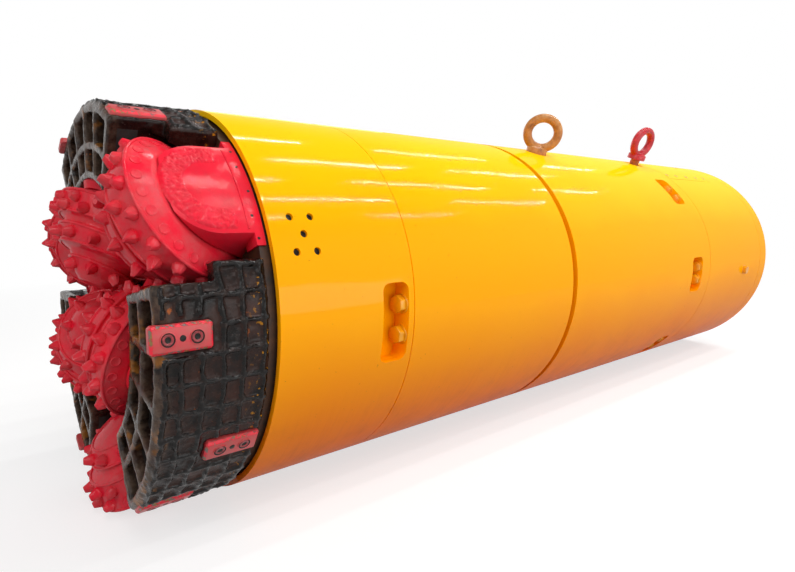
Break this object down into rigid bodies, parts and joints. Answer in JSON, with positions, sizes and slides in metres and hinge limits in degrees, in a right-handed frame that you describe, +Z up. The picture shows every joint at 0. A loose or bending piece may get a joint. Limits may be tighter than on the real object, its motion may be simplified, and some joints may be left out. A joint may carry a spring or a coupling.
{
  "type": "tunnel boring machine",
  "caption": "Pipe-jacking tunnel boring machine: yellow cylindrical shield in bolted cans with a steering joint, black-armed cutterhead with red roller cones, lifting eyes on top.",
  "frame": {"origin": "on the ground under the bore axis, half way along the machine", "axes": "+X from the cutterhead to the tail along the bore axis, +Z up, -Y the side seen first"},
  "size_m": [2.4618, 0.76, 0.8592],
  "materials": {
    "shield_enamel": "gloss yellow enamel",
    "seal_orange": "dusty orange enamel",
    "bolt_enamel": "yellow enamel over steel",
    "bulkhead_grey": "satin grey primer",
    "drive_grey": "satin grey",
    "pipe_steel": "mill finish",
    "eye_tan": "weathered, lightly rusted",
    "eye_red": "red enamel",
    "plate_dark": "worn dark paint",
    "arm_black": "worn black paint over hard-facing",
    "cutter_red": "gloss red enamel"
  },
  "bodies": {
    "rear_shield": {"machine_can": "shield_enamel", "tail_can": "shield_enamel", "tail_ring": "shield_enamel", "rear_seam_bolts": "bolt_enamel", "eye_bolt_1": "eye_tan", "eye_bolt_2": "eye_red", "tail_hatch": "shield_enamel", "rear_bulkhead": "bulkhead_grey", "feed_pipe": "pipe_steel", "discharge_pipe": "pipe_steel", "power_pack": "drive_grey"},
    "articulation": {"articulation_ring": "seal_orange"},
    "front_shield": {"front_can": "shield_enamel", "steering_can": "shield_enamel", "front_seam_bolts": "bolt_enamel", "drive_bulkhead": "bulkhead_grey", "main_drive": "drive_grey"},
    "cutterhead": {"head_plate": "plate_dark", "cutter_arm_1": "arm_black", "cutter_arm_2": "arm_black", "cutter_arm_3": "arm_black", "gauge_blocks_1": "cutter_red", "gauge_blocks_2": "cutter_red", "gauge_blocks_3": "cutter_red", "gauge_leg_1": "cutter_red", "gauge_leg_2": "cutter_red", "gauge_leg_3": "cutter_red", "centre_leg_1": "cutter_red", "centre_leg_2": "cutter_red", "centre_leg_3": "cutter_red"},
    "gauge_roller_1": {"gauge_cone_1": "cutter_red"},
    "centre_roller_1": {"centre_cone_1": "cutter_red"},
    "gauge_roller_2": {"gauge_cone_2": "cutter_red"},
    "centre_roller_2": {"centre_cone_2": "cutter_red"},
    "gauge_roller_3": {"gauge_cone_3": "cutter_red"},
    "centre_roller_3": {"centre_cone_3": "cutter_red"}
  },
  "joints": [
    {"name": "steer_yaw", "type": "hinge", "parent": "rear_shield", "child": "articulation", "pos_m": [-0.15816, 0, 0.38], "axis": [0, 0, 1], "range_deg": [-1.5, 1.5]},
    {"name": "steer_pitch", "type": "hinge", "parent": "articulation", "child": "front_shield", "pos_m": [-0.15816, 0, 0.38], "axis": [0, 1, 0], "range_deg": [-1.5, 1.5]},
    {"name": "cutterhead_turn", "type": "hinge", "parent": "front_shield", "child": "cutterhead", "pos_m": [-0.98216, 0, 0.38], "axis": [1, 0, 0], "continuous": true},
    {"name": "gauge_roller_1_turn", "type": "hinge", "parent": "cutterhead", "child": "gauge_roller_1", "pos_m": [-1.06918, -0.24279, 0.56295], "axis": [-0.5446, 0.6698, -0.5047], "continuous": true},
    {"name": "centre_roller_1_turn", "type": "hinge", "parent": "cutterhead", "child": "centre_roller_1", "pos_m": [-1.09817, -0.14866, 0.3169], "axis": [-0.5, 0.7972, 0.3384], "continuous": true},
    {"name": "gauge_roller_2_turn", "type": "hinge", "parent": "cutterhead", "child": "gauge_roller_2", "pos_m": [-1.06918, 0.27983, 0.49878], "axis": [-0.5446, -0.772, -0.3277], "continuous": true},
    {"name": "centre_roller_2_turn", "type": "hinge", "parent": "cutterhead", "child": "centre_roller_2", "pos_m": [-1.09817, 0.01968, 0.5403], "axis": [-0.5, -0.1055, -0.8596], "continuous": true},
    {"name": "gauge_roller_3_turn", "type": "hinge", "parent": "cutterhead", "child": "gauge_roller_3", "pos_m": [-1.06918, -0.03705, 0.07827], "axis": [-0.5446, 0.1022, 0.8324], "continuous": true},
    {"name": "centre_roller_3_turn", "type": "hinge", "parent": "cutterhead", "child": "centre_roller_3", "pos_m": [-1.09817, 0.12898, 0.28281], "axis": [-0.5, -0.6916, 0.5212], "continuous": true}
  ]
}
